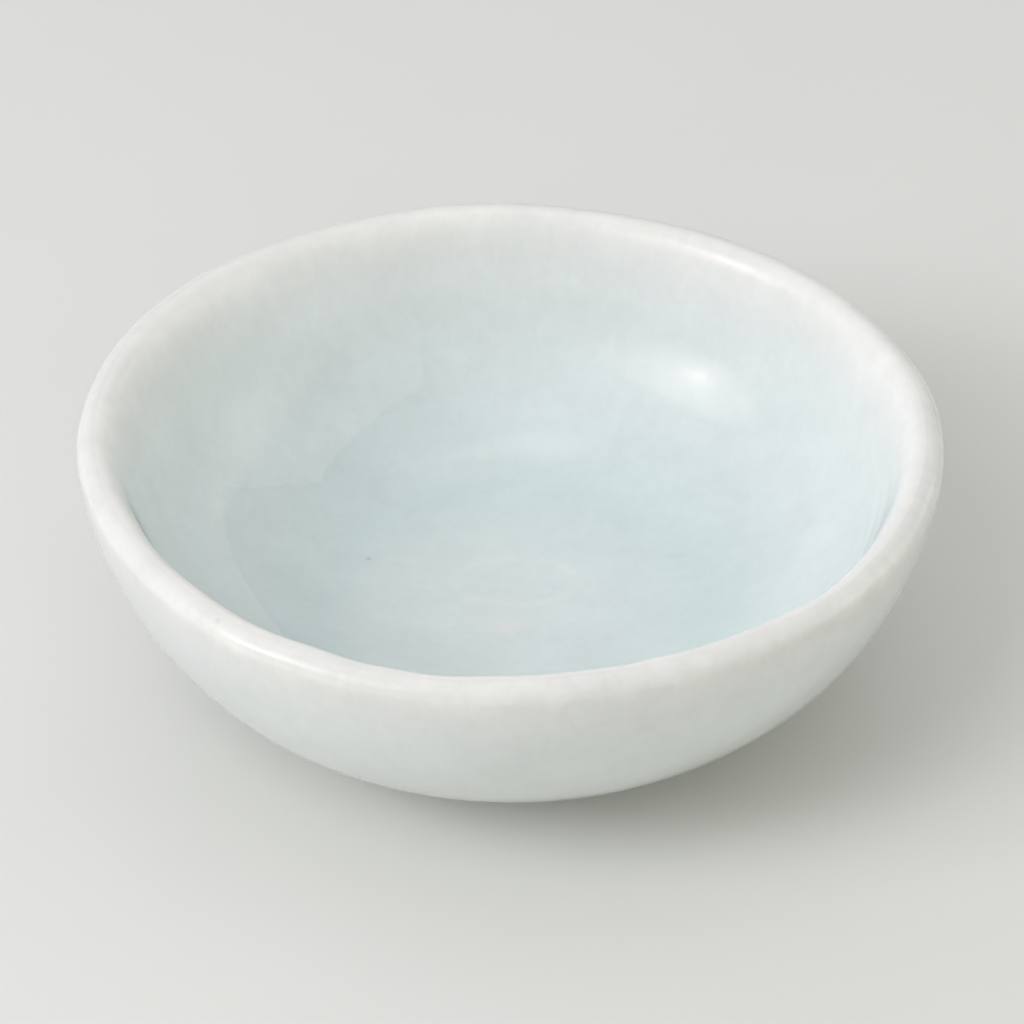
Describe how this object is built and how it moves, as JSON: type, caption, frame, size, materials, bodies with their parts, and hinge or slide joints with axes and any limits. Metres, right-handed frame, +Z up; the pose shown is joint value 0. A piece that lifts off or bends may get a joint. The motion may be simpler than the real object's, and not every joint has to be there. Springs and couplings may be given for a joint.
{
  "type": "dip bowl",
  "caption": "Small round glazed porcelain dip bowl with a thick rounded, slightly wavering lip, a deep curved basin and a low foot ring.",
  "frame": {"origin": "centre of the foot ring's tread, on the surface that the bowl stands on", "axes": "+Z up through the middle of the bowl; -Y faces the viewer of the picture, +X is the viewer's right"},
  "size_m": [0.0872, 0.085, 0.0316],
  "materials": {
    "porcelain_clay": "fired porcelain, matt, under the glaze all over",
    "bare_clay": "fired porcelain, bare and wiped, matt with a faint warm tint",
    "inside_glaze": "pale blue-green celadon, glossy, near white where it is thin on the lip",
    "outside_glaze": "very pale grey-green celadon, glossy, thinner than inside",
    "foot_well_glaze": "pale grey-green celadon, glossy, inside the foot ring"
  },
  "bodies": {
    "root": {"clay_bowl": "porcelain_clay", "foot_ring": "bare_clay", "inside_glaze": "inside_glaze", "outside_glaze": "outside_glaze", "foot_well_glaze": "foot_well_glaze"}
  },
  "joints": []
}
